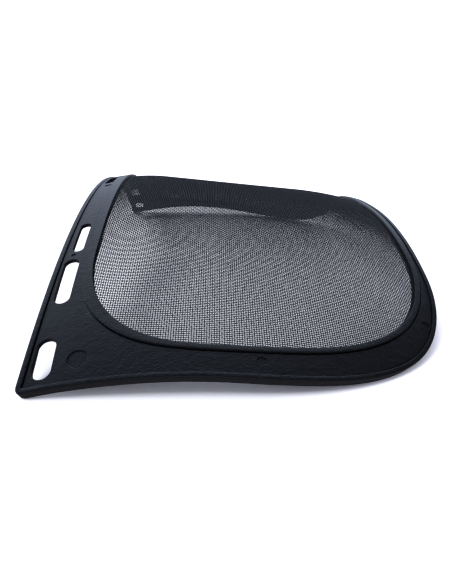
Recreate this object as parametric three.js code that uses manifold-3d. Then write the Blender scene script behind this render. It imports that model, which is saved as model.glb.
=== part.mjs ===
// Mesh face shield: a moulded plastic frame that arches from ear to ear and holds a woven screen.
// Millimetres, +Z up, lying on its edges with the convex side up. X runs from the brow edge to the
// chin edge, and the two halves mirror each other across the plane y = 0.
import * as THREE from 'three';
import { mergeVertices } from 'three/addons/utils/BufferGeometryUtils.js';
import Module from 'manifold-3d';

const wasm = await Module();
wasm.setup();

// The curved sheet that the frame and screen follow, as a height above the table
const CROWN_HEIGHT = 55.1; // along the middle line, at x = 0
const CROWN_SLOPE = 0.081; // fall of the middle line towards the chin
const BROW_X = -88; // where the brow's shares of the sheet are complete
const CHIN_X = 100; // the same for the chin
const BROW_DROOP = 8.3; // how far the middle line bends down at the brow
const BROW_DROOP_START = -42;
const BROW_DROOP_FADE = 0.785; // share of that bend lost at the half span
const CHIN_DROOP = 4.1; // how far the middle line bends down at the chin
const CHIN_DROOP_START = 55;
const HALF_SPAN = 150; // from the middle line to where the side fall is stated
const SIDE_FALL = 35.5; // fall from the middle line to the half span
const BROW_SIDE_FALL = 10.9; // how much more the brow end falls
const CHIN_SIDE_FALL = 16.9; // how much more the chin end falls
const ARCH_POWER = 1.87; // how the fall grows from the middle line to the side
const BROW_ARCH_POWER = 0.11;
const CHIN_ARCH_POWER = 0.47;

// Outer outline, seen from above
const OUTER = {
  brow: -84.2, // brow edge on the middle line
  browBow: 2.6, // how far the brow edge runs back at the half span
  side: 175.3, // at its widest
  shoulder: -3.5, // where it is widest, and the chin corner starts
  earTaper: 0.6, // how much narrower it is at the ear corner
  chin: 102.7,
  chinEnd: 98, // where the straight chin edge ends
  chinPower: 2.18,
};
const EAR_CORNER_RADIUS = 3.2;

// Outline of the screen's opening, seen from above
const OPENING = {
  brow: -67.8,
  browEnd: 106, // where the straight brow side ends and the corner starts
  side: 161.1,
  shoulder: -9.2,
  chin: 95.8,
  chinEnd: 80.9,
  browPower: 2.49,
  chinPower: 2.36,
};

// Stations around half of each outline
const BROW_STATIONS = 16;
const CORNER_STATIONS = 20;
const EAR_STATIONS = 4;
const CHIN_STATIONS = 24;
const CHIN_EDGE_STATIONS = 10;

// Frame section: heights above the sheet, and widths along it
const UNDERSIDE = -1.0; // lower edge of the outer skirt and of the rim
const BAND_UNDERSIDE = 0.3; // the thinner band between them
const BAND_TOP = 2.3;
const BEAD_TOP = 3.0;
const BEAD_WIDTH = 2.5;
const SKIRT_WIDTH = 1.8;
const RIM_TOP = 2.9;
const RIM_EDGE_TOP = 2.6; // beside the opening
const RIM_WIDTH = 2.9; // along the sides and chin
const RIM_BROW_WIDTH = 4.2; // along the middle of the brow
const RIM_CORNER_WIDTH = 5.4; // at the corners next to the brow
const RIM_CORNER_Y = [116, 138];
const RIM_CORNER_X = [-62, -22];
const RIM_FOOT_WIDTH = 2.6; // of the rim's lower part
const RIM_FULL_X = -50; // from here to the chin the rim stands fully above the band
const RIM_END_X = -67;
const GROOVE_FLOOR = 1.7;
const GROOVE_WIDTH = 0.55;
const EDGE_CHAMFER = 0.5;
const SCREEN_LEVEL = 0.7; // middle of the woven screen
const POCKET_HALF_HEIGHT = 0.6;
const POCKET_DEPTH = 1.6;
const BAND_STEPS = 5;

// Woven screen, as a plain sheet
const SCREEN_HALF_THICKNESS = 0.3;
const SCREEN_MARGIN = 1.3; // how far it reaches into the frame's pocket
const SCREEN_RINGS = 12;

// Headgear slots: centre, length along the brow edge and width. All but the middle one are in pairs.
const SLOTS = [
  { x: -77.2, y: 0, length: 27, width: 5.8 },
  { x: -77.3, y: 92.2, length: 25.6, width: 5.4 },
  { x: -78.1, y: 123.7, length: 29.2, width: 7.2 },
  { x: -79.1, y: 162.1, length: 18.8, width: 7.9 },
];
const SLOT_CUT_DEPTH = 14;

// Round moulding marks in the top face: centre and radius, in pairs
const MARKS = [
  { x: -76, y: 20.6, radius: 2.2 },
  { x: -78.4, y: 107, radius: 1.2 },
  { x: -65.4, y: 164.5, radius: 4.1 },
  { x: 6.9, y: 167.2, radius: 2 },
  { x: 90, y: 130, radius: 2.2 },
];
const MARK_DEPTH = 0.45;

const black = new THREE.MeshStandardMaterial({ color: 0x1d2126, roughness: 0.55, metalness: 0 });
const wire = new THREE.MeshStandardMaterial({ color: 0x24282c, roughness: 0.45, metalness: 0.6 });

const { smoothstep, lerp } = THREE.MathUtils;

function sheetHeight(x, y) {
  const brow = Math.max(0, x / BROW_X) ** 2;
  const chin = Math.max(0, x / CHIN_X) ** 2;
  const q = Math.abs(y) / HALF_SPAN;
  const browBend = Math.max(0, (x - BROW_DROOP_START) / (BROW_X - BROW_DROOP_START)) ** 2;
  const chinBend = Math.max(0, (x - CHIN_DROOP_START) / (CHIN_X - CHIN_DROOP_START)) ** 2;
  const browDroop = BROW_DROOP * browBend * (1 - BROW_DROOP_FADE * q ** 2);
  const middle = CROWN_HEIGHT - CROWN_SLOPE * x - browDroop - CHIN_DROOP * chinBend;
  const fall = SIDE_FALL + BROW_SIDE_FALL * brow + CHIN_SIDE_FALL * chin;
  return middle - fall * q ** (ARCH_POWER + BROW_ARCH_POWER * brow + CHIN_ARCH_POWER * chin);
}

// Unit normal of the sheet, pointing away from the face
function sheetNormal(x, y) {
  const step = 0.05;
  const slopeX = (sheetHeight(x + step, y) - sheetHeight(x - step, y)) / (2 * step);
  const slopeY = (sheetHeight(x, y + step) - sheetHeight(x, y - step)) / (2 * step);
  return new THREE.Vector3(-slopeX, -slopeY, 1).normalize();
}

// The point a given height above the sheet, over a point of the plan
function onSheet(plan, height) {
  const foot = new THREE.Vector3(plan.x, plan.y, sheetHeight(plan.x, plan.y));
  return foot.addScaledVector(sheetNormal(plan.x, plan.y), height);
}

// A quarter of a superellipse, from its highest point in y to its furthest point in x
class QuarterCurve extends THREE.Curve {
  constructor(centre, reachX, reachY, power) {
    super();
    this.centre = centre;
    this.reach = new THREE.Vector2(reachX, reachY);
    this.exponent = 2 / power;
    this.arcLengthDivisions = 800;
  }

  getPoint(t, target = new THREE.Vector2()) {
    const angle = (t * Math.PI) / 2;
    const x = Math.sin(angle) ** this.exponent;
    const y = Math.cos(angle) ** this.exponent;
    return target.set(x, y).multiply(this.reach).add(this.centre);
  }
}

function straight(from, to, count) {
  return new THREE.LineCurve(from, to).getSpacedPoints(count);
}

// Completes an outline whose first half runs from the middle of the brow to the middle of the chin
function mirrored(half) {
  const back = half.slice(1, -1).reverse();
  return [...half, ...back.map((p) => new THREE.Vector2(p.x, -p.y))];
}

// The straight chin edge, from its corner to the middle line
function chinEdge({ chin, chinEnd }) {
  const corner = new THREE.Vector2(chin, chinEnd);
  return straight(corner, new THREE.Vector2(chin, 0), CHIN_EDGE_STATIONS).slice(1);
}

function outerOutline() {
  const browX = (y) => OUTER.brow - OUTER.browBow * (y / HALF_SPAN) ** 2;
  const earY = OUTER.side - OUTER.earTaper - EAR_CORNER_RADIUS;
  const earX = browX(earY) + EAR_CORNER_RADIUS;
  const brow = straight(new THREE.Vector2(0, 0), new THREE.Vector2(0, earY), BROW_STATIONS);
  brow.forEach((p) => p.setX(browX(p.y)));
  const earCentre = new THREE.Vector2(earX, earY);
  const ear = new QuarterCurve(earCentre, -EAR_CORNER_RADIUS, EAR_CORNER_RADIUS, 2);
  const shoulder = new THREE.Vector2(OUTER.shoulder, OUTER.side);
  const side = straight(new THREE.Vector2(earX, OUTER.side), shoulder, CORNER_STATIONS - EAR_STATIONS);
  side.forEach((p) => {
    const away = (OUTER.shoulder - p.x) / (OUTER.shoulder - earX);
    p.setY(OUTER.side - OUTER.earTaper * away ** 2);
  });
  const reachX = OUTER.chin - OUTER.shoulder;
  const reachY = OUTER.side - OUTER.chinEnd;
  const chinCentre = new THREE.Vector2(OUTER.shoulder, OUTER.chinEnd);
  const chin = new QuarterCurve(chinCentre, reachX, reachY, OUTER.chinPower);
  return mirrored([
    ...brow,
    ...ear.getSpacedPoints(EAR_STATIONS).reverse().slice(1),
    ...side.slice(1),
    ...chin.getSpacedPoints(CHIN_STATIONS).slice(1),
    ...chinEdge(OUTER),
  ]);
}

function openingOutline() {
  const { brow, browEnd, side, shoulder, chin, chinEnd } = OPENING;
  const middle = new THREE.Vector2(brow, 0);
  const cornerCentre = new THREE.Vector2(shoulder, browEnd);
  const chinCentre = new THREE.Vector2(shoulder, chinEnd);
  const corner = new QuarterCurve(cornerCentre, brow - shoulder, side - browEnd, OPENING.browPower);
  const chinCurve = new QuarterCurve(chinCentre, chin - shoulder, side - chinEnd, OPENING.chinPower);
  return mirrored([
    ...straight(middle, new THREE.Vector2(brow, browEnd), BROW_STATIONS),
    ...corner.getSpacedPoints(CORNER_STATIONS).reverse().slice(1),
    ...chinCurve.getSpacedPoints(CHIN_STATIONS).slice(1),
    ...chinEdge(OPENING),
  ]);
}

// Moves a closed outline inwards (or outwards, when negative) by a distance measured on the sheet,
// either one for all points or one given by each point
function inset(outline, distance) {
  const distanceAt = typeof distance === 'function' ? distance : () => distance;
  return outline.map((point, i) => {
    const before = outline.at(i - 1);
    const after = outline[(i + 1) % outline.length];
    const inward = new THREE.Vector2(after.y - before.y, before.x - after.x).normalize();
    const ahead = point.clone().add(inward);
    const slope = sheetHeight(ahead.x, ahead.y) - sheetHeight(point.x, point.y);
    return point.clone().addScaledVector(inward, distanceAt(point) / Math.hypot(1, slope));
  });
}

function between(outlineA, outlineB, share) {
  return outlineA.map((p, i) => p.clone().lerp(outlineB[i], share));
}

// A closed skin over rows of points, each row a closed loop. It joins the last row to the first, or
// shuts both with a fan around a middle point.
function skin(rows, caps) {
  const count = rows[0].length;
  const points = rows.flat();
  const faces = [];
  const lastJoin = caps ? rows.length - 1 : rows.length;
  for (let r = 0; r < lastJoin; r += 1) {
    const here = r * count;
    const next = ((r + 1) % rows.length) * count;
    for (let i = 0; i < count; i += 1) {
      const j = (i + 1) % count;
      faces.push(here + i, next + i, next + j, here + i, next + j, here + j);
    }
  }
  if (caps) {
    const first = points.push(caps[0]) - 1;
    const last = points.push(caps[1]) - 1;
    const end = (rows.length - 1) * count;
    for (let i = 0; i < count; i += 1) {
      const j = (i + 1) % count;
      faces.push(first, i, j, last, end + j, end + i);
    }
  }
  const geometry = new THREE.BufferGeometry().setFromPoints(points);
  geometry.setIndex(faces);
  return geometry;
}

function toSolid(geometry) {
  const bare = geometry.clone();
  bare.deleteAttribute('normal');
  bare.deleteAttribute('uv');
  const merged = mergeVertices(bare, 1e-4);
  return new wasm.Manifold(new wasm.Mesh({
    numProp: 3,
    vertProperties: new Float32Array(merged.attributes.position.array),
    triVerts: new Uint32Array(merged.index.array),
  }));
}

function toGeometry(solid) {
  const { vertProperties, triVerts } = solid.getMesh();
  const geometry = new THREE.BufferGeometry();
  geometry.setAttribute('position', new THREE.BufferAttribute(vertProperties, 3));
  geometry.setIndex(new THREE.BufferAttribute(triVerts, 1));
  geometry.computeVertexNormals();
  return geometry;
}

// Stands a shape's extrusion on the sheet at (x, y): its own x runs along X, its y along the arch
function cutter(shape, x, y, bottom, top) {
  const geometry = new THREE.ExtrudeGeometry(shape, {
    depth: top - bottom,
    bevelEnabled: false,
    curveSegments: 10,
  });
  const up = sheetNormal(x, y);
  const along = new THREE.Vector3().crossVectors(up, new THREE.Vector3(1, 0, 0)).normalize();
  const across = new THREE.Vector3().crossVectors(along, up);
  geometry.translate(0, 0, bottom);
  geometry.applyMatrix4(new THREE.Matrix4().makeBasis(across, along, up));
  const foot = onSheet(new THREE.Vector2(x, y), 0);
  return geometry.translate(foot.x, foot.y, foot.z);
}

function slotShape(length, width) {
  const radius = width / 2;
  const reach = length / 2 - radius;
  const shape = new THREE.Shape();
  shape.absarc(0, reach, radius, 0, Math.PI, false);
  shape.absarc(0, -reach, radius, Math.PI, 2 * Math.PI, false);
  return shape;
}

function discShape(radius) {
  return new THREE.Shape().absarc(0, 0, radius, 0, 2 * Math.PI, false);
}

// Calls make(x, y) on both sides of the middle line, or once on it
function bothSides({ x, y }, make) {
  return y === 0 ? [make(x, 0)] : [make(x, y), make(x, -y)];
}

// How fully the rim is formed at a point: 1 along the sides and chin, 0 along the brow
function rimShare(point) {
  return smoothstep(point.x, RIM_END_X, RIM_FULL_X);
}

function rimWidth(point) {
  const aside = smoothstep(Math.abs(point.y), ...RIM_CORNER_Y);
  const brow = lerp(RIM_BROW_WIDTH, RIM_CORNER_WIDTH, aside);
  return lerp(brow, RIM_WIDTH, smoothstep(point.x, ...RIM_CORNER_X));
}

function buildFrame() {
  const outer = outerOutline();
  const opening = openingOutline();
  const beadEdge = inset(outer, BEAD_WIDTH);
  const skirtEdge = inset(outer, SKIRT_WIDTH);
  const footEdge = inset(opening, -RIM_FOOT_WIDTH);
  const outsideRim = (extra) => inset(opening, (point) => -rimWidth(point) - extra);
  const rimHeight = (point) => lerp(BAND_TOP, RIM_TOP, rimShare(point));
  const grooveHeight = (point) => lerp(BAND_TOP, GROOVE_FLOOR, rimShare(point));
  const grooveEdge = outsideRim(GROOVE_WIDTH);
  const pocketEdge = inset(opening, -POCKET_DEPTH);
  const rows = [
    [skirtEdge, BAND_UNDERSIDE],
    [skirtEdge, UNDERSIDE],
    [outer, UNDERSIDE],
    [outer, BEAD_TOP - EDGE_CHAMFER],
    [inset(outer, EDGE_CHAMFER), BEAD_TOP],
    [inset(outer, BEAD_WIDTH - EDGE_CHAMFER), BEAD_TOP],
  ];
  for (let i = 0; i <= BAND_STEPS; i += 1) {
    rows.push([between(beadEdge, grooveEdge, i / BAND_STEPS), BAND_TOP]);
  }
  rows.push(
    [outsideRim(GROOVE_WIDTH / 2), grooveHeight],
    [outsideRim(0), rimHeight],
    [inset(opening, -EDGE_CHAMFER), RIM_EDGE_TOP],
    [opening, RIM_EDGE_TOP - EDGE_CHAMFER],
    [opening, SCREEN_LEVEL + POCKET_HALF_HEIGHT],
    [pocketEdge, SCREEN_LEVEL + POCKET_HALF_HEIGHT],
    [pocketEdge, SCREEN_LEVEL - POCKET_HALF_HEIGHT],
    [opening, SCREEN_LEVEL - POCKET_HALF_HEIGHT],
    [opening, UNDERSIDE],
    [footEdge, UNDERSIDE],
  );
  for (let i = 0; i < BAND_STEPS; i += 1) {
    rows.push([between(footEdge, skirtEdge, i / BAND_STEPS), BAND_UNDERSIDE]);
  }
  const ring = skin(rows.map(([outline, height]) => outline.map((point, i) => (
    onSheet(point, typeof height === 'function' ? height(opening[i]) : height)))));
  const cutters = [
    ...SLOTS.flatMap((slot) => bothSides(slot, (x, y) => cutter(
      slotShape(slot.length, slot.width), x, y, -SLOT_CUT_DEPTH / 2, SLOT_CUT_DEPTH / 2))),
    ...MARKS.flatMap((mark) => bothSides(mark, (x, y) => cutter(
      discShape(mark.radius), x, y, BAND_TOP - MARK_DEPTH, BAND_TOP + MARK_DEPTH))),
  ];
  return toGeometry(cutters.reduce((solid, tool) => solid.subtract(toSolid(tool)), toSolid(ring)));
}

function buildScreen() {
  const edge = inset(openingOutline(), -SCREEN_MARGIN);
  const middle = new THREE.Vector2((OPENING.brow + OPENING.chin) / 2, 0);
  const ring = (share, height) => edge.map((p) => onSheet(middle.clone().lerp(p, share), height));
  const shares = Array.from({ length: SCREEN_RINGS }, (_, i) => (i + 1) / SCREEN_RINGS);
  const bottom = SCREEN_LEVEL - SCREEN_HALF_THICKNESS;
  const top = SCREEN_LEVEL + SCREEN_HALF_THICKNESS;
  const under = shares.map((share) => ring(share, bottom));
  const over = shares.map((share) => ring(share, top)).reverse();
  const caps = [onSheet(middle, bottom), onSheet(middle, top)];
  return toGeometry(toSolid(skin([...under, ...over], caps)));
}

function named(name, geometry, material) {
  const mesh = new THREE.Mesh(geometry, material);
  mesh.name = name;
  return mesh;
}

const shield = new THREE.Group();
shield.add(named('frame', buildFrame(), black), named('mesh_screen', buildScreen(), wire));

// Set it down on the table, centred over the origin
const bounds = new THREE.Box3().setFromObject(shield);
const centre = bounds.getCenter(new THREE.Vector3());
shield.position.set(-centre.x, -centre.y, -bounds.min.z);

export default shield;
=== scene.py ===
"""Looks for the mesh face shield: the moulded frame and the woven wires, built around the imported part.

Shapes are worked out in millimetres over a plan, as heights above one curved sheet, and then moved
into the part's own frame in metres. X runs from brow to chin and Y from ear to ear.
"""

import math

import bmesh
import bpy
import numpy as np
from mathutils import Matrix, Vector
from mathutils.geometry import delaunay_2d_cdt


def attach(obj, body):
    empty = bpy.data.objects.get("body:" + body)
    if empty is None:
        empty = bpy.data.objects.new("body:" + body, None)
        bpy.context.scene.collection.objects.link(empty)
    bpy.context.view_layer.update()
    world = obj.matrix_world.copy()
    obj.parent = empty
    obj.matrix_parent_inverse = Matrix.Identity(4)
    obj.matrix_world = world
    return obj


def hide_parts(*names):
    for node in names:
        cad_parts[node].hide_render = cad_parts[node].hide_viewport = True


# Where the plan's origin lies in the part's frame, in millimetres
PLAN_ORIGIN = np.array([-7.636, 0.0, 0.076])

# The curved sheet
CROWN_HEIGHT = 55.1  # along the middle line, at x = 0
CROWN_SLOPE = 0.081  # fall of the middle line towards the chin
BROW_X = -88.0  # where the brow's shares of the sheet are complete
CHIN_X = 100.0  # the same for the chin
BROW_DROOP = 8.3  # how far the middle line bends down at the brow
BROW_DROOP_START = -42.0
BROW_DROOP_FADE = 0.785  # share of that bend lost at the half span
CHIN_DROOP = 4.1  # how far the middle line bends down at the chin
CHIN_DROOP_START = 55.0
HALF_SPAN = 150.0  # from the middle line to where the side fall is stated
SIDE_FALL = 35.5  # fall from the middle line to the half span
BROW_SIDE_FALL = 10.9  # how much more the brow end falls
CHIN_SIDE_FALL = 16.9  # how much more the chin end falls
ARCH_POWER = 1.87  # how the fall grows from the middle line to the side
BROW_ARCH_POWER = 0.11
CHIN_ARCH_POWER = 0.47

# Outlines, seen from above
OUTER_BROW = -84.2  # brow edge on the middle line
OUTER_BOW = 2.6  # how far the brow edge runs back at the half span
OUTER_SIDE = 175.3
OUTER_SHOULDER = -3.5  # where it is widest, and the chin corner starts
OUTER_EAR_TAPER = 0.6  # how much narrower it is at the ear corner
OUTER_CHIN = 102.7
OUTER_CHIN_END = 98.0  # where the straight chin edge ends
OUTER_POWER = 2.18
EAR_RADIUS = 3.2
OPENING_BROW = -67.8
OPENING_BROW_END = 106.0
OPENING_SIDE = 161.1
OPENING_SHOULDER = -9.2
OPENING_CHIN = 95.8
OPENING_CHIN_END = 80.9
OPENING_BROW_POWER = 2.49
OPENING_CHIN_POWER = 2.36

# Section of the frame: heights above the sheet and widths along it
UNDERSIDE = -1.0  # lower edge of the outer skirt and of the rim's foot
BAND_TOP = 2.3
BAND_UNDERSIDE = 0.3
BEAD_TOP = 3.0
BEAD_WIDTH = 2.5
STEP_WIDTH = 0.3  # of the narrow groove beside the bead
STEP_DEPTH = 0.6
SKIRT_WIDTH = 1.8
RIM_TOP = 2.9
RIM_EDGE_TOP = 2.6  # beside the opening
RIM_WIDTH = 2.9
RIM_BROW_WIDTH = 4.2
RIM_FOOT_WIDTH = 2.6
RIM_CORNER_WIDTH = 5.4  # widest, at the corners next to the brow
RIM_CORNER_Y = (116.0, 138.0)
RIM_CORNER_X = (-62.0, -22.0)
RIM_FULL_X = -50.0  # from here to the chin the rim is fully formed
RIM_END_X = -67.0
GROOVE_DEPTH = 0.7
GROOVE_WIDTH = 0.55
SCREEN_LEVEL = 0.7  # middle of the woven screen
POCKET_HALF_HEIGHT = 0.45
POCKET_CLEARANCE = 0.4  # beyond the ends of the wires
EDGE_RADIUS = 0.7
LOWER_EDGE_RADIUS = 0.4
SLOT_EDGE_RADIUS = 0.3
LIP = 0.12  # small bevel where the band meets its grooves
OUTLINE_SPACING = 1.1  # between points along the outlines
TOP_SPACING = 1.8  # between points inside the faces of the band
UNDER_SPACING = 2.4
ROW_RATIO = 0.866  # height of an even triangle for a side of 1

# Slots: x, y, length along the brow edge, width
SLOTS = [
    (-77.2, 0.0, 27.0, 5.8),
    (-77.3, 92.2, 25.6, 5.4),
    (-78.1, 123.7, 29.2, 7.2),
    (-79.1, 162.1, 18.8, 7.9),
]
# Round moulding marks: x, y, radius
MARKS = [
    (-76.0, 20.6, 2.2),
    (-78.4, 107.0, 1.2),
    (-65.4, 164.5, 4.1),
    (6.9, 167.2, 2.0),
    (90.0, 130.0, 2.2),
]
MARK_DEPTH = 0.45
# Rings round a mark's wall: offset outwards, and share of the depth
MARK_STEPS = ((0.3, 0.0), (0.15, 0.0), (0.04, 0.15), (-0.06, 0.9), (-0.2, 1.0), (-0.4, 1.0))

# Woven screen
WEAVE_PITCH = 1.058  # 24 wires to the inch
WIRE_RADIUS = 0.19
WEAVE_TURN = math.radians(-1.5)
WIRE_REACH = 1.2  # how far the wires run on inside the frame
WIRE_SIDES = 5
WEAVE_X = (-80.0, 106.0)  # along the warp
WEAVE_Y = (-190.0, 190.0)  # along the weft
WARP_PARTS = (-42.0, 42.0)  # where the warp is divided into three pieces
WEFT_PARTS = (-16.0, 36.0)

# Materials
PLASTIC_BLACK = (0.0018, 0.0022, 0.003)
PLASTIC_ROUGHNESS = (0.3, 0.46)
FINE_GRAIN_SCALE = 1300.0
BROAD_GRAIN_SCALE = 300.0
BROAD_GRAIN_SHARE = 0.9
GRAIN_STRENGTH = 0.6
GRAIN_DEPTH = 0.00035  # metres
WIRE_BLACK = (0.005, 0.0058, 0.008)
COAT_SCALE = 900.0
WIRE_ROUGHNESS = (0.3, 0.55)

# Studio
TABLE_HALF_SIDE = 30.0  # metres
TABLE_SEEN = (0.86, 0.87, 0.93, 1.0)
TABLE_BOUNCE = (0.14, 0.135, 0.15, 1.0)
DOME_TINT = (0.97, 0.98, 1.08)
DOME_LIGHT = 1.1  # on matt surfaces
DOME_SEEN = 1.05
BRIGHT = (0.8, 0.92, 1.18, 1.0)
DARK = (0.01, 0.011, 0.014, 1.0)
BRIGHT_SIDE = (-0.27, 0.96, 0.05)
GLOW = (0.32, 0.36, 0.46, 1.0)  # on the side opposite the bright one
# Shares of the way across from that side to the bright one
GLOW_UP_TO = 0.08
DARK_FROM = 0.28
DARK_UP_TO = 0.57
BRIGHT_FROM = 0.81
SUN_DIRECTION = (0.6, 0.45, -1.0)
SUN_STRENGTH = 2.4
SUN_ANGLE = math.radians(24.0)

# Camera
CAMERA_AT = (-18.378, -335.172, 106.487)  # beside the plan, in millimetres
CAMERA_YAW = math.radians(3.5545)
CAMERA_PITCH = math.radians(-20.9878)
CAMERA_ROLL = math.radians(1.6916)
SENSOR_WIDTH = 36.0
LENS = 29.589


# The curved sheet -------------------------------------------------------------------------------


def smoothstep(value, low, high):
    t = np.clip((value - low) / (high - low), 0.0, 1.0)
    return t * t * (3.0 - 2.0 * t)


def sheet_height(x, y):
    """Height of the sheet above the table, over points of the plan."""
    brow = np.maximum(0.0, x / BROW_X) ** 2
    chin = np.maximum(0.0, x / CHIN_X) ** 2
    q = np.abs(y) / HALF_SPAN
    brow_bend = np.maximum(0.0, (x - BROW_DROOP_START) / (BROW_X - BROW_DROOP_START)) ** 2
    chin_bend = np.maximum(0.0, (x - CHIN_DROOP_START) / (CHIN_X - CHIN_DROOP_START)) ** 2
    brow_droop = BROW_DROOP * brow_bend * (1.0 - BROW_DROOP_FADE * q**2)
    middle = CROWN_HEIGHT - CROWN_SLOPE * x - brow_droop - CHIN_DROOP * chin_bend
    fall = SIDE_FALL + BROW_SIDE_FALL * brow + CHIN_SIDE_FALL * chin
    return middle - fall * q ** (ARCH_POWER + BROW_ARCH_POWER * brow + CHIN_ARCH_POWER * chin)


def sheet_normal(x, y):
    """Unit normal of the sheet, pointing away from the face."""
    step = 0.05
    slope_x = (sheet_height(x + step, y) - sheet_height(x - step, y)) / (2.0 * step)
    slope_y = (sheet_height(x, y + step) - sheet_height(x, y - step)) / (2.0 * step)
    normal = np.stack([-slope_x, -slope_y, np.ones_like(slope_x)], -1)
    return normal / np.linalg.norm(normal, axis=-1, keepdims=True)


def on_sheet(plan, height):
    """The points a given height above the sheet, over points of the plan."""
    plan = np.asarray(plan, float)
    x, y = plan[..., 0], plan[..., 1]
    foot = np.stack([x, y, sheet_height(x, y)], -1)
    return foot + sheet_normal(x, y) * np.broadcast_to(height, x.shape)[..., None]


def to_part(points):
    """Moves points from the plan, in millimetres, to the part's frame in metres."""
    return (np.asarray(points) + PLAN_ORIGIN) * 0.001


# Outlines ---------------------------------------------------------------------------------------


def quarter(centre_x, centre_y, reach_x, reach_y, power, count):
    """A quarter of a superellipse, from its furthest point in y to its furthest point in x."""
    angle = np.linspace(0.0, math.pi / 2.0, count)
    x = centre_x + reach_x * np.sin(angle) ** (2.0 / power)
    y = centre_y + reach_y * np.cos(angle) ** (2.0 / power)
    return np.stack([x, y], -1)


def evenly(line, spacing):
    """The same line with its points evenly spaced along it."""
    steps = np.hypot(*np.diff(line, axis=0).T)
    along = np.r_[0.0, np.cumsum(steps)]
    count = max(2, round(along[-1] / spacing))
    at = np.linspace(0.0, along[-1], count + 1)
    return np.stack([np.interp(at, along, line[:, k]) for k in (0, 1)], -1)


def mirrored(half):
    """A closed outline from its half that runs from the middle of the brow to that of the chin."""
    back = half[-2:0:-1] * [1.0, -1.0]
    return np.concatenate([half, back])


def outer_outline(spacing):
    def brow_x(y):
        return OUTER_BROW - OUTER_BOW * (y / HALF_SPAN) ** 2

    ear_y = OUTER_SIDE - OUTER_EAR_TAPER - EAR_RADIUS
    ear_x = brow_x(ear_y) + EAR_RADIUS
    y = np.linspace(0.0, ear_y, 300)
    brow = np.stack([brow_x(y), y], -1)
    ear = quarter(ear_x, ear_y, -EAR_RADIUS, EAR_RADIUS, 2.0, 40)[::-1]
    x = np.linspace(ear_x, OUTER_SHOULDER, 200)[1:]
    away = (OUTER_SHOULDER - x) / (OUTER_SHOULDER - ear_x)
    side = np.stack([x, OUTER_SIDE - OUTER_EAR_TAPER * away**2], -1)
    reach = OUTER_CHIN - OUTER_SHOULDER, OUTER_SIDE - OUTER_CHIN_END
    chin = quarter(OUTER_SHOULDER, OUTER_CHIN_END, *reach, OUTER_POWER, 1500)
    half = np.concatenate([brow, ear[1:], side, chin[1:], [[OUTER_CHIN, 0.0]]])
    return mirrored(evenly(half, spacing))


def opening_outline(spacing):
    reach = OPENING_BROW - OPENING_SHOULDER, OPENING_SIDE - OPENING_BROW_END
    corner = quarter(OPENING_SHOULDER, OPENING_BROW_END, *reach, OPENING_BROW_POWER, 1500)[::-1]
    reach = OPENING_CHIN - OPENING_SHOULDER, OPENING_SIDE - OPENING_CHIN_END
    chin = quarter(OPENING_SHOULDER, OPENING_CHIN_END, *reach, OPENING_CHIN_POWER, 1500)
    half = np.concatenate([[[OPENING_BROW, 0.0]], corner, chin[1:], [[OPENING_CHIN, 0.0]]])
    return mirrored(evenly(half, spacing))


def inset(outline, distance):
    """The closed outline moved inwards by a distance that is measured on the sheet."""
    along = np.roll(outline, -1, 0) - np.roll(outline, 1, 0)
    inward = np.stack([along[:, 1], -along[:, 0]], -1)
    inward /= np.linalg.norm(inward, axis=1, keepdims=True)
    ahead = outline + inward
    slope = sheet_height(*ahead.T) - sheet_height(*outline.T)
    return outline + inward * (distance / np.hypot(1.0, slope))[:, None]


# Shapes -----------------------------------------------------------------------------------------


class Skin:
    """Collects points and faces for one mesh."""

    def __init__(self):
        self.points = []
        self.faces = []
        self.count = 0

    def add(self, points):
        points = np.asarray(points, float)
        first = self.count
        self.points.append(points)
        self.count += len(points)
        return np.arange(first, self.count)

    def strip(self, ring_a, ring_b):
        """Quads between two closed rings of the same count."""
        for a, b, c, d in zip(ring_a, np.roll(ring_a, -1), np.roll(ring_b, -1), ring_b):
            self.faces.append((a, b, c, d))

    def mesh(self, name):
        mesh = bpy.data.meshes.new(name)
        mesh.from_pydata(to_part(np.concatenate(self.points)).tolist(), [], self.faces)
        mesh.validate()
        shape = bmesh.new()
        shape.from_mesh(mesh)
        bmesh.ops.recalc_face_normals(shape, faces=shape.faces)
        shape.to_mesh(mesh)
        shape.free()
        mesh.shade_smooth()
        mesh.set_sharp_from_angle(angle=math.radians(40.0))
        piece = bpy.data.objects.new(name, mesh)
        bpy.context.scene.collection.objects.link(piece)
        return piece


def inside(points, outline):
    """Whether each point lies inside a closed outline."""
    x, y = points[:, :1], points[:, 1:]
    ax, ay = outline.T
    bx, by = np.roll(outline, -1, 0).T
    crosses = (ay > y) != (by > y)
    at = (bx - ax) * (y - ay) / np.where(by == ay, 1e-12, by - ay) + ax
    return (crosses & (x < at)).sum(1) % 2 == 1


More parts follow.
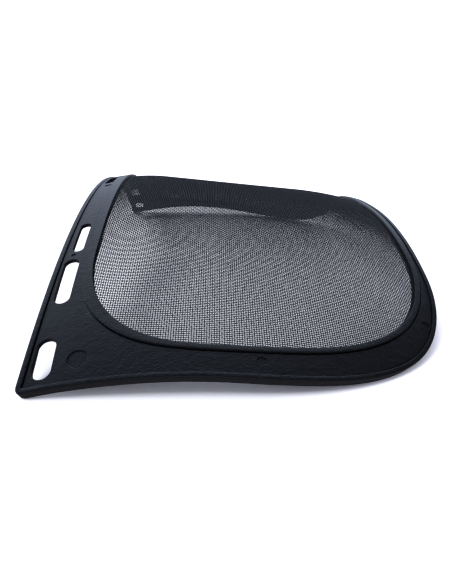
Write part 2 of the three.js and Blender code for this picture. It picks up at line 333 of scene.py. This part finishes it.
class Slot:
    """A slot cut straight along the sheet's normal at its centre."""

    def __init__(self, x, y, length, width):
        self.foot = on_sheet([x, y], 0.0)
        self.up = sheet_normal(np.float64(x), np.float64(y))
        along = np.cross(self.up, [1.0, 0.0, 0.0])
        self.along = along / np.linalg.norm(along)
        self.across = np.cross(self.along, self.up)
        self.radius = width / 2.0
        self.reach = length / 2.0 - self.radius

    def ring(self, offset, height, per_end=22, per_side=14):
        """Points around the slot, offset outwards from its wall, a given height above the sheet."""
        radius = self.radius + offset
        turn = np.linspace(0.0, math.pi, per_end, endpoint=self.reach > 0)
        end = np.stack([np.cos(turn) * radius, self.reach + np.sin(turn) * radius], -1)
        side_y = np.linspace(self.reach, -self.reach, per_side)[1:-1]
        side = np.stack([np.full(per_side - 2, -radius), side_y], -1)
        local = np.concatenate([end, side, -end, -side])
        base = self.foot + local[:, :1] * self.across + local[:, 1:] * self.along
        rise = np.full(len(local), float(height))
        for _ in range(8):
            at = base + rise[:, None] * self.up
            normal = sheet_normal(at[:, 0], at[:, 1])
            above = (at[:, 2] - sheet_height(at[:, 0], at[:, 1])) * normal[:, 2]
            rise -= above - height
        return base + rise[:, None] * self.up


def both_sides(items):
    """Every item given by x, y and sizes, with its mirror image across the middle line."""
    return [(x, side * y, *rest) for x, y, *rest in items for side in ((1,) if y == 0 else (1, -1))]


def far_from(points, edge_points, gap):
    """Whether each point is further than a gap from every edge point."""
    keep = np.ones(len(points), bool)
    for start in range(0, len(edge_points), 500):
        away = points[:, None, :] - edge_points[None, start : start + 500, :]
        keep &= (np.hypot(away[..., 0], away[..., 1]) > gap).all(1)
    return keep


def fill(skin, outer_loop, inner_loop, loops, level, height_of, spacing):
    """Fills a face of the band with triangles, between two loops of points already in the skin.

    A loop is (indices, layout, hole): layout holds its points in x and y at the face's own level, and
    nothing is filled inside a hole. height_of(plan) is the face's height over points of the plan.
    """
    inner_loop = (*inner_loop, True)
    loops = [(*outer_loop, False), inner_loop, *loops]
    outline = outer_loop[1]
    holes = [layout for _, layout, hole in loops if hole]
    low, high = outline.min(0), outline.max(0)
    grid = []
    for row, y in enumerate(np.arange(low[1], high[1], spacing * ROW_RATIO)):
        x = np.arange(low[0] + (row % 2) * spacing / 2.0, high[0], spacing)
        grid.append(np.stack([x, np.full_like(x, y)], -1))
    grid = np.concatenate(grid)
    layout = on_sheet(grid, level)[:, :2]
    edge_points = np.concatenate([points for _, points, _ in loops])
    keep = inside(layout, outline) & far_from(layout, edge_points, 0.6 * spacing)
    for hole in holes:
        keep &= ~inside(layout, hole)
    grid, layout = grid[keep], layout[keep]
    plan, index, edges = [], [], []
    for ids, points, _ in loops:
        first, count = len(index), len(ids)
        plan.extend(points.tolist())
        index.extend(ids.tolist())
        edges.extend((first + k, first + (k + 1) % count) for k in range(count))
    index.extend(skin.add(on_sheet(grid, height_of(grid))).tolist())
    plan.extend(layout.tolist())
    made, _, triangles, origin, _, _ = delaunay_2d_cdt([Vector(p) for p in plan], edges, [], 0, 1e-6)
    made, triangles = np.array([tuple(v) for v in made]), np.array(triangles)
    centre = made[triangles].mean(1)
    wanted = inside(centre, outline)
    for hole in holes:
        wanted &= ~inside(centre, hole)
    for triangle in triangles[wanted]:
        skin.faces.append(tuple(index[origin[v][0]] for v in triangle))


# Moulded frame ----------------------------------------------------------------------------------


def rim_share(plan):
    """How fully the rim stands out from the band: 1 along the sides and chin, 0 along the brow."""
    return smoothstep(plan[:, 0], RIM_END_X, RIM_FULL_X)


def rim_width(plan):
    """The rim's width, which is greatest at the corners next to the brow."""
    aside = smoothstep(np.abs(plan[:, 1]), *RIM_CORNER_Y)
    brow = RIM_BROW_WIDTH + (RIM_CORNER_WIDTH - RIM_BROW_WIDTH) * aside
    return brow + (RIM_WIDTH - brow) * smoothstep(plan[:, 0], *RIM_CORNER_X)


def fillet(radius, top, steps=5):
    """(inset, height) pairs round an edge, from a wall at inset 0 up to a face at height top."""
    turn = np.linspace(0.0, math.pi / 2.0, steps)
    return [(radius * (1 - math.cos(a)), top - radius + radius * math.sin(a)) for a in turn]


def bead_section():
    """(inset, height) pairs from the band's underside round the skirt and bead to the band's top."""
    step_end = BEAD_WIDTH + STEP_WIDTH
    lower_edge = [(d, 2 * UNDERSIDE - h) for d, h in reversed(fillet(LOWER_EDGE_RADIUS, UNDERSIDE, 4))]
    return [
        (SKIRT_WIDTH + 0.4, BAND_UNDERSIDE),
        (SKIRT_WIDTH + 0.08, BAND_UNDERSIDE - 0.1),
        (SKIRT_WIDTH, BAND_UNDERSIDE - 0.4),
        (SKIRT_WIDTH - 0.1, UNDERSIDE + 0.3),
        (SKIRT_WIDTH - 0.4, UNDERSIDE),
        *lower_edge,
        *fillet(EDGE_RADIUS, BEAD_TOP),
        (BEAD_WIDTH - 0.2, BEAD_TOP),
        (BEAD_WIDTH - 0.06, BEAD_TOP - 0.06),
        (BEAD_WIDTH, BEAD_TOP - 0.2),
        (BEAD_WIDTH, BAND_TOP - STEP_DEPTH),
        (step_end, BAND_TOP - STEP_DEPTH),
        (step_end, BAND_TOP - 0.15),
        (step_end + LIP, BAND_TOP),
    ]


def rim_section(opening):
    """(distance out from the opening, height) pairs from the band's top round the rim to its underside.

    They pass through the groove, over the rim, round the wires' pocket and back out along the foot.
    """
    share = rim_share(opening)
    width = rim_width(opening)
    rim_top = BAND_TOP + (RIM_TOP - BAND_TOP) * share
    depth = GROOVE_DEPTH * share + 0.02
    pocket = WIRE_REACH + POCKET_CLEARANCE
    crest = [
        (width * part, RIM_EDGE_TOP + (rim_top - RIM_EDGE_TOP) * math.sin(part * math.pi / 2))
        for part in (0.85, 0.68, 0.5, 0.34, 0.2, 0.1)
    ]
    return [
        (width + GROOVE_WIDTH + LIP, BAND_TOP),
        (width + GROOVE_WIDTH, BAND_TOP - depth * 0.3),
        (width + GROOVE_WIDTH - 0.1, BAND_TOP - depth),
        (width + 0.1, BAND_TOP - depth),
        (width, rim_top - 0.25 * share - 0.02),
        (width - 0.12, rim_top - 0.06 * share - 0.01),
        *crest,
        (0.06, RIM_EDGE_TOP - 0.08),
        (0.0, RIM_EDGE_TOP - 0.25),
        (0.0, SCREEN_LEVEL + POCKET_HALF_HEIGHT),
        (pocket, SCREEN_LEVEL + POCKET_HALF_HEIGHT),
        (pocket, SCREEN_LEVEL - POCKET_HALF_HEIGHT),
        (0.0, SCREEN_LEVEL - POCKET_HALF_HEIGHT),
        (0.0, UNDERSIDE + 0.4),
        (0.15, UNDERSIDE + 0.1),
        (0.5, UNDERSIDE),
        (RIM_FOOT_WIDTH - 0.4, UNDERSIDE),
        (RIM_FOOT_WIDTH - 0.1, UNDERSIDE + 0.3),
        (RIM_FOOT_WIDTH, BAND_UNDERSIDE - 0.3),
        (RIM_FOOT_WIDTH + 0.3, BAND_UNDERSIDE),
    ]


def sweep(skin, outline, section, direction):
    """Carries a section round an outline. Returns the first and last ring as (indices, plan)."""
    plans = [inset(outline, direction * distance) for distance, _ in section]
    rings = [skin.add(on_sheet(plan, height)) for plan, (_, height) in zip(plans, section)]
    for a, b in zip(rings, rings[1:]):
        skin.strip(a, b)
    return (rings[0], plans[0]), (rings[-1], plans[-1])


def cut_slots(skin):
    """Adds the slots' walls. Returns the loops that they leave in the top face and in the lower one."""
    top_loops, under_loops = [], []
    for x, y, length, slot_width in both_sides(SLOTS):
        slot = Slot(x, y, length, slot_width)
        levels = [(0.2, BAND_UNDERSIDE), (0.05, BAND_UNDERSIDE + 0.05), (0.0, BAND_UNDERSIDE + 0.2)]
        levels += fillet(SLOT_EDGE_RADIUS, BAND_TOP)
        points = [slot.ring(d, h) for d, h in levels]
        ids = [skin.add(p) for p in points]
        for a, b in zip(ids, ids[1:]):
            skin.strip(a, b)
        under_loops.append((ids[0], points[0][:, :2], True))
        top_loops.append((ids[-1], points[-1][:, :2], True))
        further = slot.ring(SLOT_EDGE_RADIUS + 0.25, BAND_TOP)
        top_loops.append((skin.add(further), further[:, :2], False))
    return top_loops, under_loops


def press_marks(skin):
    """Adds rings for the round marks. Returns their loops and the marks as (place, radius)."""
    loops = []
    marks = [(Slot(x, y, 2 * radius, 2 * radius), radius) for x, y, radius in both_sides(MARKS)]
    for mark, _ in marks:
        for offset, drop in MARK_STEPS:
            layout = mark.ring(offset, BAND_TOP, 20, 2)[:, :2]
            points = mark.ring(offset, BAND_TOP - drop * MARK_DEPTH, 20, 2)
            loops.append((skin.add(points), layout, False))
    return loops, marks


def build_frame():
    skin = Skin()
    under_out, band_out = sweep(skin, outer_outline(OUTLINE_SPACING), bead_section(), 1.0)
    opening = opening_outline(OUTLINE_SPACING)
    band_in, under_in = sweep(skin, opening, rim_section(opening), -1.0)
    top_loops, under_loops = cut_slots(skin)
    mark_loops, marks = press_marks(skin)

    def top_height(plan):
        height = np.full(len(plan), BAND_TOP)
        foot = on_sheet(plan, BAND_TOP)
        for mark, radius in marks:
            away = foot - mark.foot
            distance = np.hypot(away @ mark.across, away @ mark.along)
            height[distance < radius] = BAND_TOP - MARK_DEPTH
        return height

    def under_height(plan):
        return np.full(len(plan), BAND_UNDERSIDE)

    def at_level(ring, level):
        ids, plan = ring
        return ids, on_sheet(plan, level)[:, :2]

    edges = at_level(band_out, BAND_TOP), at_level(band_in, BAND_TOP)
    fill(skin, *edges, top_loops + mark_loops, BAND_TOP, top_height, TOP_SPACING)
    edges = at_level(under_out, BAND_UNDERSIDE), at_level(under_in, BAND_UNDERSIDE)
    fill(skin, *edges, under_loops, BAND_UNDERSIDE, under_height, UNDER_SPACING)
    return skin.mesh("moulded_frame")


# Materials --------------------------------------------------------------------------------------


def principled(name, base):
    material = bpy.data.materials.new(name)
    material.use_nodes = True
    shader = material.node_tree.nodes["Principled BSDF"]
    shader.inputs["Base Color"].default_value = (*base, 1.0)
    return material, shader


def plastic_material():
    material, shader = principled("moulded_plastic", PLASTIC_BLACK)
    shader.inputs["Specular IOR Level"].default_value = 0.5
    tree = material.node_tree
    place = tree.nodes.new("ShaderNodeTexCoord")
    fine = tree.nodes.new("ShaderNodeTexNoise")
    fine.inputs["Scale"].default_value = FINE_GRAIN_SCALE
    fine.inputs["Detail"].default_value = 4.0
    broad = tree.nodes.new("ShaderNodeTexNoise")
    broad.inputs["Scale"].default_value = BROAD_GRAIN_SCALE
    broad.inputs["Detail"].default_value = 3.0
    broad.inputs["Distortion"].default_value = 0.3
    for noise in (fine, broad):
        tree.links.new(place.outputs["Object"], noise.inputs["Vector"])
    grain = tree.nodes.new("ShaderNodeMath")
    grain.operation = "MULTIPLY_ADD"
    grain.inputs[1].default_value = BROAD_GRAIN_SHARE
    tree.links.new(broad.outputs["Fac"], grain.inputs[0])
    tree.links.new(fine.outputs["Fac"], grain.inputs[2])
    bump = tree.nodes.new("ShaderNodeBump")
    bump.inputs["Strength"].default_value = GRAIN_STRENGTH
    bump.inputs["Distance"].default_value = GRAIN_DEPTH
    tree.links.new(grain.outputs["Value"], bump.inputs["Height"])
    tree.links.new(bump.outputs["Normal"], shader.inputs["Normal"])
    gloss = tree.nodes.new("ShaderNodeMapRange")
    gloss.inputs["To Min"].default_value, gloss.inputs["To Max"].default_value = PLASTIC_ROUGHNESS
    tree.links.new(fine.outputs["Fac"], gloss.inputs["Value"])
    tree.links.new(gloss.outputs["Result"], shader.inputs["Roughness"])
    return material


def wire_material():
    material, shader = principled("coated_wire", WIRE_BLACK)
    shader.inputs["Specular IOR Level"].default_value = 0.8
    tree = material.node_tree
    place = tree.nodes.new("ShaderNodeTexCoord")
    patches = tree.nodes.new("ShaderNodeTexNoise")
    patches.inputs["Scale"].default_value = COAT_SCALE
    tree.links.new(place.outputs["Object"], patches.inputs["Vector"])
    coat = tree.nodes.new("ShaderNodeMapRange")
    coat.inputs["To Min"].default_value, coat.inputs["To Max"].default_value = WIRE_ROUGHNESS
    tree.links.new(patches.outputs["Fac"], coat.inputs["Value"])
    tree.links.new(coat.outputs["Result"], shader.inputs["Roughness"])
    return material


# Woven wires ------------------------------------------------------------------------------------


class Weave:
    """Finds plan points from distances along the two sets of wires."""

    def __init__(self):
        """Tables distances along the sheet from the middle line, at evenly spaced x of the plan."""
        self.xs = np.linspace(-80.0, 110.0, 96)
        self.ys = np.linspace(0.0, 172.0, 400)
        grid_x, grid_y = np.meshgrid(self.xs, self.ys, indexing="ij")
        z = sheet_height(grid_x, grid_y)
        steps = np.hypot(np.diff(grid_y, axis=1), np.diff(z, axis=1))
        self.arcs = np.concatenate([np.zeros((len(self.xs), 1)), np.cumsum(steps, 1)], 1)
        self.slope = math.hypot(1.0, CROWN_SLOPE)

    def plan(self, u, v):
        """Plan points at distances u along the warp and v along the weft."""
        ahead = u * math.cos(WEAVE_TURN) - v * math.sin(WEAVE_TURN)
        aside = u * math.sin(WEAVE_TURN) + v * math.cos(WEAVE_TURN)
        x = ahead / self.slope
        column = (x - self.xs[0]) / (self.xs[1] - self.xs[0])
        column = np.clip(column, 0, len(self.xs) - 1.001)
        low = column.astype(int)
        part = column - low
        y = np.zeros_like(x)
        for k in np.unique(low):
            here = low == k
            a = np.interp(np.abs(aside[here]), self.arcs[k], self.ys)
            b = np.interp(np.abs(aside[here]), self.arcs[k + 1], self.ys)
            y[here] = a + (b - a) * part[here]
        return np.stack([x, np.sign(aside) * y], -1)


def add_wire(skin, plan, level):
    """Adds one wire as an open tube over points of the plan, at their heights above the sheet."""
    around = np.arange(WIRE_SIDES) * 2 * math.pi / WIRE_SIDES
    centre = on_sheet(plan, level)
    normal = sheet_normal(plan[:, 0], plan[:, 1])
    tangent = np.gradient(centre, axis=0)
    tangent /= np.linalg.norm(tangent, axis=1, keepdims=True)
    side = np.cross(tangent, normal)
    side /= np.linalg.norm(side, axis=1, keepdims=True)
    up = np.cross(side, tangent)
    turned = np.cos(around)[:, None] * side[:, None] + np.sin(around)[:, None] * up[:, None]
    ring = centre[:, None] + WIRE_RADIUS * turned
    ids = skin.add(ring.reshape(-1, 3)).reshape(-1, WIRE_SIDES)
    a, b = ids[:-1], ids[1:]
    quads = np.stack([a, np.roll(a, -1, 1), np.roll(b, -1, 1), b], -1).reshape(-1, 4)
    skin.faces.extend(map(tuple, quads.tolist()))


def whole_pitches(span):
    """Counts of the weave's pitch that lie within a span."""
    return np.arange(math.ceil(span[0] / WEAVE_PITCH), math.floor(span[1] / WEAVE_PITCH) + 1)


def build_wires():
    """The warp runs from brow to chin and the weft from ear to ear, each over and under in turn.

    Each set is made as three pieces, side by side.
    """
    weave = Weave()
    edge = inset(opening_outline(1.5), -WIRE_REACH)
    pieces = []
    for warp in (True, False):
        name, limits = ("warp", WARP_PARTS) if warp else ("weft", WEFT_PARTS)
        lines = whole_pitches(WEAVE_Y if warp else WEAVE_X)
        knots = whole_pitches(WEAVE_X if warp else WEAVE_Y)
        skins = [Skin(), Skin(), Skin()]
        for line in lines:
            across = np.full(len(knots), line * WEAVE_PITCH)
            along = knots * WEAVE_PITCH
            plan = weave.plan(along, across) if warp else weave.plan(across, along)
            keep = np.flatnonzero(inside(plan, edge))
            if len(keep) < 3:
                continue
            run = slice(keep[0], keep[-1] + 1)
            over = np.where((knots[run] + line) % 2 == 0, 1.0, -1.0)
            level = SCREEN_LEVEL + (over if warp else -over) * WIRE_RADIUS
            middle = plan[run].mean(0)
            part = np.searchsorted(limits, middle[1] if warp else middle[0])
            add_wire(skins[int(part)], plan[run], level)
        for part, skin in enumerate(skins, 1):
            pieces.append(skin.mesh(f"{name}_{part}"))
    return pieces


# Studio -----------------------------------------------------------------------------------------


def build_floor():
    """A wide pale table. What it throws back onto the part is dimmer than what the camera sees."""
    side = TABLE_HALF_SIDE
    corners = [(-side, -side, 0), (side, -side, 0), (side, side, 0), (-side, side, 0)]
    mesh = bpy.data.meshes.new("table")
    mesh.from_pydata(corners, [], [(0, 1, 2, 3)])
    floor = bpy.data.objects.new("table", mesh)
    bpy.context.scene.collection.objects.link(floor)
    material, shader = principled("table_white", TABLE_SEEN[:3])
    shader.inputs["Specular IOR Level"].default_value = 0.0
    shader.inputs["Roughness"].default_value = 0.8
    tree = material.node_tree
    path = tree.nodes.new("ShaderNodeLightPath")
    shade = tree.nodes.new("ShaderNodeMix")
    shade.data_type = "RGBA"
    shade.inputs["A"].default_value = TABLE_BOUNCE
    shade.inputs["B"].default_value = TABLE_SEEN
    tree.links.new(path.outputs["Is Camera Ray"], shade.inputs["Factor"])
    tree.links.new(shade.outputs["Result"], shader.inputs["Base Color"])
    mesh.materials.append(material)
    return floor


def build_world():
    """White to the camera and to matt surfaces. Glossy ones see a bright side, a glow and dark between."""
    world = bpy.data.worlds.new("studio")
    world.use_nodes = True
    tree = world.node_tree
    background = tree.nodes["Background"]
    place = tree.nodes.new("ShaderNodeTexCoord")
    facing = tree.nodes.new("ShaderNodeVectorMath")
    facing.operation = "DOT_PRODUCT"
    facing.inputs[1].default_value = BRIGHT_SIDE
    tree.links.new(place.outputs["Generated"], facing.inputs[0])
    ramp = tree.nodes.new("ShaderNodeValToRGB")
    stops = ramp.color_ramp.elements
    stops[0].position, stops[0].color = GLOW_UP_TO, GLOW
    stops[1].position, stops[1].color = BRIGHT_FROM, BRIGHT
    for position in (DARK_FROM, DARK_UP_TO):
        stops.new(position).color = DARK
    shift = tree.nodes.new("ShaderNodeMath")
    shift.operation = "MULTIPLY_ADD"
    shift.inputs[1].default_value = 0.5
    shift.inputs[2].default_value = 0.5
    tree.links.new(facing.outputs["Value"], shift.inputs[0])
    tree.links.new(shift.outputs["Value"], ramp.inputs["Fac"])
    path = tree.nodes.new("ShaderNodeLightPath")
    last = ramp.outputs["Color"]
    for ray, white in (("Is Diffuse Ray", DOME_LIGHT), ("Is Camera Ray", DOME_SEEN)):
        shade = tree.nodes.new("ShaderNodeMix")
        shade.data_type = "RGBA"
        shade.inputs["B"].default_value = (*(white * tint for tint in DOME_TINT), 1.0)
        tree.links.new(path.outputs[ray], shade.inputs["Factor"])
        tree.links.new(last, shade.inputs["A"])
        last = shade.outputs["Result"]
    tree.links.new(last, background.inputs["Color"])
    background.inputs["Strength"].default_value = 1.0
    bpy.context.scene.world = world


def add_sun():
    """Soft light from above, which gives the table its shadow and doesn't show in glossy surfaces."""
    data = bpy.data.lights.new("soft_sky", "SUN")
    data.energy = SUN_STRENGTH
    data.angle = SUN_ANGLE
    light = bpy.data.objects.new("soft_sky", data)
    light.rotation_euler = Vector(SUN_DIRECTION).to_track_quat("-Z", "Y").to_euler()
    light.visible_glossy = False
    bpy.context.scene.collection.objects.link(light)


def add_camera():
    data = bpy.data.cameras.new("camera")
    data.sensor_width = SENSOR_WIDTH
    data.lens = LENS
    data.clip_start = 0.01
    camera = bpy.data.objects.new("camera", data)
    yaw = Matrix.Rotation(-CAMERA_YAW, 4, "Z")
    pitch = Matrix.Rotation(math.pi / 2.0 + CAMERA_PITCH, 4, "X")
    roll = Matrix.Rotation(CAMERA_ROLL, 4, "Z")
    camera.matrix_world = Matrix.Translation(Vector(to_part(CAMERA_AT))) @ yaw @ pitch @ roll
    bpy.context.scene.collection.objects.link(camera)
    bpy.context.scene.camera = camera


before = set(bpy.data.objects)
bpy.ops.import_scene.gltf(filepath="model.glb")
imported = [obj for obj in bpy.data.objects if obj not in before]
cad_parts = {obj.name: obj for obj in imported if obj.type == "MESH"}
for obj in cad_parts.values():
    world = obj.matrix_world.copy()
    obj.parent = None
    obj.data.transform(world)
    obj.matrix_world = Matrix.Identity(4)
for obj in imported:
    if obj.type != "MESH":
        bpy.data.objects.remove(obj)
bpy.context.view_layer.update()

shield_frame = build_frame()
shield_frame.data.materials.append(plastic_material())
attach(shield_frame, "root")
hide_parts("frame")

wire = wire_material()
for piece in build_wires():
    piece.data.materials.append(wire)
    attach(piece, "root")
    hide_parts("mesh_screen")

build_floor()

build_world()
add_sun()
add_camera()
bpy.context.scene.view_settings.view_transform = "Standard"
bpy.context.scene.cycles.filter_width = 1.2
